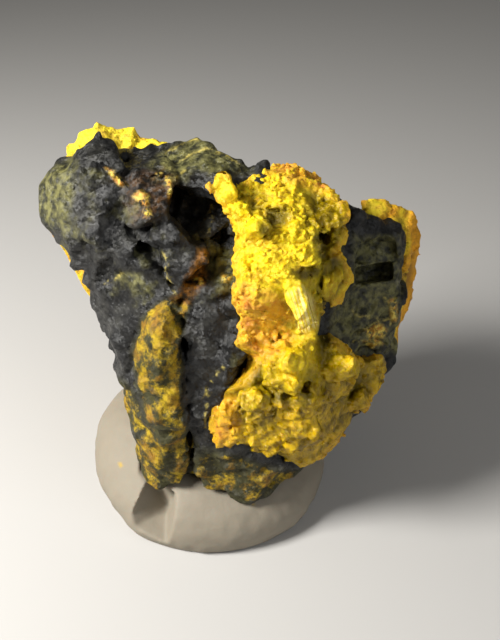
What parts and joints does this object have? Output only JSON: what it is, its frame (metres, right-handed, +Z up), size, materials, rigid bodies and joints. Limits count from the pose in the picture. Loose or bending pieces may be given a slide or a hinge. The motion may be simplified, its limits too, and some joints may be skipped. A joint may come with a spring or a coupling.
{
  "type": "soddyite specimen",
  "caption": "Thumbnail mineral specimen: black ore matrix with yellow soddyite crystals over its front and an orange crust behind, held upright in a lump of putty.",
  "frame": {"origin": "the middle of the specimen's footprint, on the plane that the putty rests on", "axes": "+Z up; the crystals face -Y; +X to the right as seen from the front"},
  "size_m": [0.019, 0.0122, 0.02],
  "materials": {
    "ore": "broken black ore, fine-grained and slightly glossy, stained yellow and ochre on its two feet",
    "soddyite": "bright lemon to amber yellow crystals, waxy to glassy and a little translucent",
    "crust": "dull granular yellow to orange crust",
    "putty": "matt grey-beige putty, pressed and creased by hand"
  },
  "bodies": {
    "root": {"matrix": "ore", "soddyite_crystals": "soddyite", "soddyite_crust": "crust", "putty_base": "putty"}
  },
  "joints": []
}
